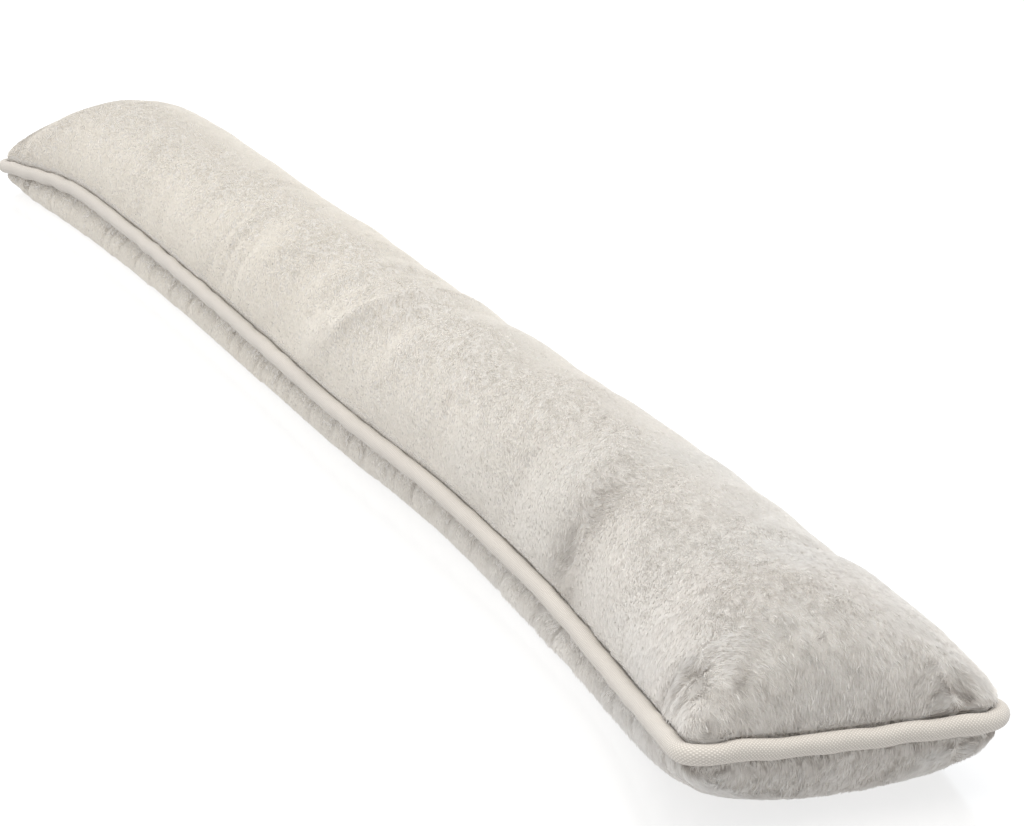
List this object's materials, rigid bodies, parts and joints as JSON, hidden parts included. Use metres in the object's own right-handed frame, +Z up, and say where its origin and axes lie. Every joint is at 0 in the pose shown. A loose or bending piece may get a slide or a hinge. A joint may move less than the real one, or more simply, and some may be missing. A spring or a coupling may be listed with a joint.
{
  "type": "draught excluder",
  "caption": "Long, slim plush bolster with a crowned top, drawn-in sides, a flat underside and a covered cord sewn into the seam all round.",
  "frame": {"origin": "centre of the underside of the bounding box, on the surface that the bolster lies on", "axes": "+X along the length, +Y across it, +Z up"},
  "size_m": [0.8499, 0.1041, 0.0589],
  "materials": {
    "plush": "short soft pile, matt, warm light grey",
    "piping_cloth": "smooth plain-woven cloth cut on the bias over a cord"
  },
  "bodies": {
    "root": {"cushion": "plush", "piping": "piping_cloth"}
  },
  "joints": []
}
